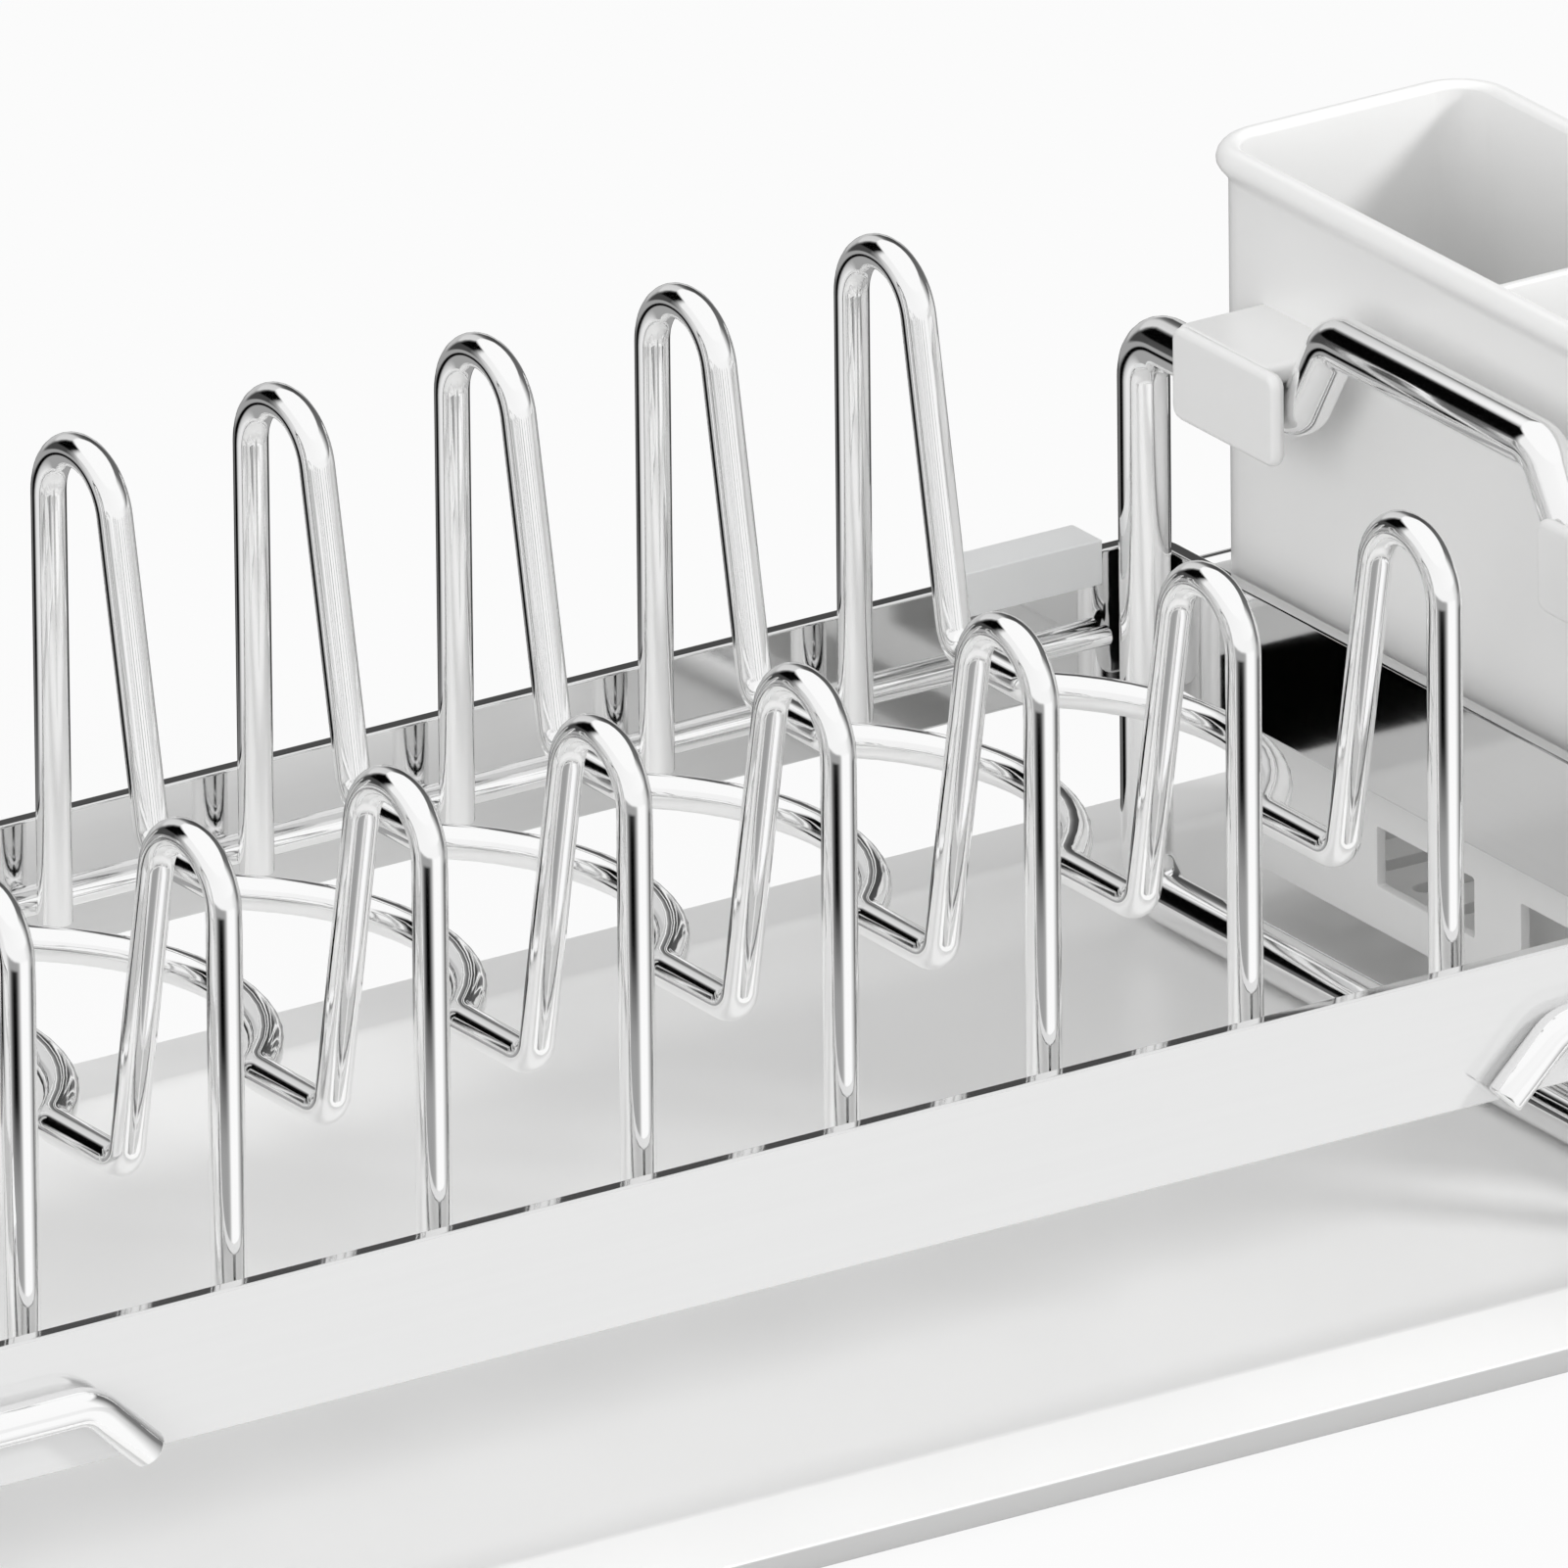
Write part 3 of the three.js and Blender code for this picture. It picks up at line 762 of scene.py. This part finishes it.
rim_corner = holder_corner + rim_reach
rim_z = holder_top - rim_half_height
inner_in = rim_reach + holder_wall
over_rim = [
    (rim_crest_in * (1 - math.cos(math.pi * k / 16)),
     rim_z + rim_half_height * math.sin(math.pi * k / 16))
    for k in range(9)
]
over_rim += [
    (rim_crest_in + (inner_in - rim_crest_in) * math.sin(math.pi * k / 12),
     holder_top - rim_mouth_fall * (1 - math.cos(math.pi * k / 12)))
    for k in range(1, 7)
]
under_rim = [
    (rim_reach * (1 - math.cos(math.pi * k / 8)) / 2, rim_z - rim_under * k / 8)
    for k in range(9)
]
outside = shell("cutlery_box", rim_corner, [*under_rim, (rim_reach, holder_bottom)])
bpy.ops.object.mode_set(mode="OBJECT")
inner_corner = holder_corner - holder_wall
inside_line = [
    (inner_in, holder_bottom + holder_floor),
    (inner_in, holder_top - rim_mouth_fall),
]
for name, corner, line in (
    ("rim_top", rim_corner, over_rim),
    ("inside", inner_corner, inside_line),
):
    open_shell = shell(name, corner, line)
    bpy.ops.mesh.delete(type="ONLY_FACE")
    bpy.ops.object.mode_set(mode="OBJECT")
    join_to(outside, open_shell)
holder = outside
bpy.ops.object.mode_set(mode="EDIT")
bpy.ops.mesh.select_all(action="SELECT")
bpy.ops.mesh.remove_doubles(threshold=0.04 * MM)
move(x=holder_x)
bpy.ops.mesh.normals_make_consistent(inside=False)
bpy.ops.object.mode_set(mode="OBJECT")

window_cutters = []
for s in (-1, 1):
    cutter = block(
        "window",
        (holder_inner_x - holder_wall, s * window_y - window_width / 2, window_bottom),
        (holder_inner_x + 2 * holder_wall, s * window_y + window_width / 2, window_top),
    )
    round_upright(cutter, 0, window_corner, 4)
    window_cutters.append(cutter)
slot_centre = (holder_length / 2 - holder_wall) / 2 + holder_wall / 4
for s in (-1, 1):
    for k in range(slot_count):
        y = s * slot_centre + (k - (slot_count - 1) / 2) * slot_pitch
        cutter = block(
            "slot",
            (holder_x - slot_length / 2, y - slot_width / 2, holder_bottom - holder_wall),
            (holder_x + slot_length / 2, y + slot_width / 2, holder_bottom + 2 * holder_floor),
        )
        round_upright(cutter, 2, slot_width * 0.49, 6)
        window_cutters.append(cutter)
cut_out(holder, window_cutters)
round_edges(holder, holder_edge_round, segments=2, from_angle=50)

partition = block(
    "partition",
    (holder_inner_x + holder_wall / 2, -holder_wall / 2, holder_bottom + holder_floor / 2),
    (
        holder_inner_x + holder_width - holder_wall / 2,
        holder_wall / 2,
        holder_top - partition_drop,
    ),
)
round_edges(partition, partition_edge_round)

hook_parts = []
hook_ring_x = (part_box("end_frame_right")[0].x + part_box("end_frame_right")[1].x) / 2
hook_face_x = hook_ring_x - frame_thickness / 2 - clip_gap
hook_under = frame_top_z + frame_thickness / 2 + clip_gap
for s in (-1, 1):
    far = s * (hook_near + hook_width)
    reach, bridge_near = s * (hook_near - hook_plate_reach), s * hook_bridge_near
    bridge = block(
        "bridge",
        (hook_face_x - hook_plate / 2, min(bridge_near, far), hook_under),
        (holder_inner_x + holder_wall, max(bridge_near, far), hook_under + hook_bridge),
    )
    round_edges(bridge, hook_round)
    hook = block(
        "hook",
        (hook_face_x - hook_plate, min(reach, far), hook_under + hook_bridge - hook_height),
        (hook_face_x, max(reach, far), hook_under + hook_bridge),
    )
    round_upright(hook, 0, hook_corner, 6)
    round_edges(hook, hook_round)
    hook_parts += [bridge, hook]
join_to(holder, partition, *hook_parts)
settle(holder)
flatten_shading(holder)
hand_over(holder, white_moulding, "holder", "white_plastic", "cutlery_holder")

# The rack is shown on a plain pale table, lit by broad soft lamps from the front right, from
# the left and from overhead. Bright metal mirrors a white room with dark openings.
bpy.ops.object.select_all(action="DESELECT")
table_size = 12
table_gap = 0.4 * MM
table_white = 0.94
bpy.ops.mesh.primitive_plane_add(size=table_size, location=(0, 0, -table_gap))
table = bpy.context.object
table.name = "table_top"
table_paint = bpy.data.materials.new("table_paint")
table_paint.use_nodes = True
table_nodes, table_links = table_paint.node_tree.nodes, table_paint.node_tree.links
table_nodes["Principled BSDF"].inputs["Base Color"].default_value = (0.4, 0.4, 0.4, 1)
table_nodes["Principled BSDF"].inputs["Roughness"].default_value = 0.8
table_glow = table_nodes.new("ShaderNodeEmission")
table_ray = table_nodes.new("ShaderNodeLightPath")
table_share = table_nodes.new("ShaderNodeMath")
table_share.operation = "MULTIPLY"
table_share.inputs[1].default_value = table_white
table_mix = table_nodes.new("ShaderNodeMixShader")
table_links.new(table_ray.outputs["Is Camera Ray"], table_share.inputs[0])
table_links.new(table_share.outputs["Value"], table_mix.inputs["Fac"])
table_links.new(table_nodes["Principled BSDF"].outputs["BSDF"], table_mix.inputs[1])
table_links.new(table_glow.outputs["Emission"], table_mix.inputs[2])
table_links.new(
    table_mix.outputs["Shader"], table_nodes["Material Output"].inputs["Surface"]
)
table.data.materials.append(table_paint)
table.visible_glossy = False

lamps = (
    ("overhead_lamp", (0.0, -0.2, 2.0), 1.6, 7),
    ("right_lamp", (1.9, -2.1, 1.4), 0.5, 44),
    ("left_lamp", (-2.1, -1.2, 0.8), 1.4, 22),
)
for name, place, size, power in lamps:
    light = bpy.data.lights.new(name, "AREA")
    light.size = size
    light.energy = power
    lamp = bpy.data.objects.new(name, light)
    lamp.location = place
    lamp.rotation_euler = (-Vector(place)).to_track_quat("-Z", "Y").to_euler()
    lamp.visible_glossy = False
    bpy.context.scene.collection.objects.link(lamp)

# Room: white to the camera, an even grey for soft light, and a banded white for reflections
camera_place = Vector((-4.5440, -6.9770, 3.3773))
camera_aim = Vector((0.0389, -0.0174, 0.0923))
camera_roll = math.radians(-0.614)
room = bpy.data.worlds.new("white_room")
bpy.context.scene.world = room
room.use_nodes = True
room_nodes, room_links = room.node_tree.nodes, room.node_tree.links
background = room_nodes["Background"]
ray = room_nodes.new("ShaderNodeLightPath")
direction = room_nodes.new("ShaderNodeTexCoord")
turned_room = room_nodes.new("ShaderNodeMapping")
to_camera = camera_place - camera_aim
turned_room.inputs["Rotation"].default_value[2] = -math.atan2(to_camera.y, to_camera.x)
split = room_nodes.new("ShaderNodeSeparateXYZ")
around = room_nodes.new("ShaderNodeMath")
around.operation = "ARCTAN2"
around_share = room_nodes.new("ShaderNodeMapRange")
around_share.inputs["From Min"].default_value = -math.pi
around_share.inputs["From Max"].default_value = math.pi
room_links.new(direction.outputs["Generated"], turned_room.inputs["Vector"])
room_links.new(turned_room.outputs["Vector"], split.inputs["Vector"])
room_links.new(split.outputs["Y"], around.inputs[0])
room_links.new(split.outputs["X"], around.inputs[1])
room_links.new(around.outputs["Value"], around_share.inputs["Value"])


def bands(stops):
    """A ramp of brightness, from (place, brightness) stops."""
    ramp = room_nodes.new("ShaderNodeValToRGB")
    colours = ramp.color_ramp.elements
    colours[0].position, colours[1].position = stops[0][0], stops[-1][0]
    colours[0].color = (stops[0][1],) * 3 + (1,)
    colours[1].color = (stops[-1][1],) * 3 + (1,)
    for place, value in stops[1:-1]:
        colours.new(place).color = (value,) * 3 + (1,)
    return ramp


def layer(below, above, from_height, to_height):
    """Passes from one ring of the room to the next between two heights, in a straight ramp."""
    step = room_nodes.new("ShaderNodeMapRange")
    step.inputs["From Min"].default_value = from_height
    step.inputs["From Max"].default_value = to_height
    room_links.new(split.outputs["Z"], step.inputs["Value"])
    blend = room_nodes.new("ShaderNodeMix")
    blend.data_type = "RGBA"
    room_links.new(step.outputs["Result"], blend.inputs["Factor"])
    room_links.new(below, blend.inputs["A"])
    room_links.new(above, blend.inputs["B"])
    return blend.outputs["Result"]


# The rings of the room from low to high, each as (share of the way round, brightness)
table_stops = (
    (0.0, 0.0), (0.07, 0.05), (0.11, 0.20), (0.14, 0.08), (0.155, 0.0), (0.20, 0.0),
    (0.235, 0.60), (0.278, 0.85), (0.33, 0.80), (0.375, 0.38), (0.405, 0.10), (0.44, 0.0),
    (0.475, 0.0), (0.50, 0.07), (0.536, 0.42), (0.56, 0.80), (0.58, 1.0), (0.69, 1.0),
    (0.745, 0.60), (0.78, 0.20), (0.84, 0.10), (1.0, 0.0),
)
least_soft = 0.35
table_ring = bands(table_stops)
soft_table_ring = bands([(place, max(value, least_soft)) for place, value in table_stops])
horizon_ring = bands(
    (
        (0.0, 0.60), (0.10, 0.50), (0.13, 0.06), (0.20, 0.06), (0.23, 0.60), (0.35, 0.95),
        (0.66, 0.95), (0.74, 0.70), (0.79, 0.20), (0.94, 0.15), (0.975, 0.60), (1.0, 0.60),
    )
)
wall_ring = bands(
    (
        (0.0, 0.08), (0.02, 0.18), (0.045, 0.65), (0.11, 0.70), (0.132, 0.10), (0.145, 0.0),
        (0.205, 0.0), (0.23, 0.90), (0.72, 1.0), (0.77, 0.50), (0.81, 0.15), (0.90, 0.12),
        (0.97, 0.06), (1.0, 0.08),
    )
)
ceiling_ring = bands(((0.0, 1.0), (1.0, 1.0)))
for ring in (table_ring, soft_table_ring, horizon_ring, wall_ring, ceiling_ring):
    room_links.new(around_share.outputs["Result"], ring.inputs["Fac"])
near_table = layer(
    soft_table_ring.outputs["Color"], table_ring.outputs["Color"], -0.48, -0.42
)
far_table = layer(near_table, soft_table_ring.outputs["Color"], -0.33, -0.28)
low_rings = layer(far_table, horizon_ring.outputs["Color"], -0.16, -0.10)
high_rings = layer(wall_ring.outputs["Color"], ceiling_ring.outputs["Color"], 0.60, 0.67)
mirrored = layer(low_rings, high_rings, 0.13, 0.20)
lit = room_nodes.new("ShaderNodeMix")
lit.data_type = "RGBA"
lit.inputs["A"].default_value = (0.68, 0.68, 0.68, 1)
room_links.new(ray.outputs["Is Glossy Ray"], lit.inputs["Factor"])
room_links.new(mirrored, lit.inputs["B"])
seen = room_nodes.new("ShaderNodeMix")
seen.data_type = "RGBA"
seen.inputs["B"].default_value = (1, 1, 1, 1)
room_links.new(ray.outputs["Is Camera Ray"], seen.inputs["Factor"])
room_links.new(lit.outputs["Result"], seen.inputs["A"])
room_links.new(seen.outputs["Result"], background.inputs["Color"])

# The camera stands far off with a long lens, above and to the left of the rack's long side
lens = bpy.data.cameras.new("long_lens")
lens.sensor_width = 36
lens.lens = 1244.25
lens.clip_end = 100
camera = bpy.data.objects.new("camera", lens)
camera.location = camera_place
look = (camera_aim - camera_place).to_track_quat("-Z", "Y")
camera.rotation_mode = "QUATERNION"
camera.rotation_quaternion = look @ Quaternion((0, 0, 1), camera_roll)
bpy.context.scene.collection.objects.link(camera)
bpy.context.scene.camera = camera
bpy.context.scene.view_settings.view_transform = "Standard"
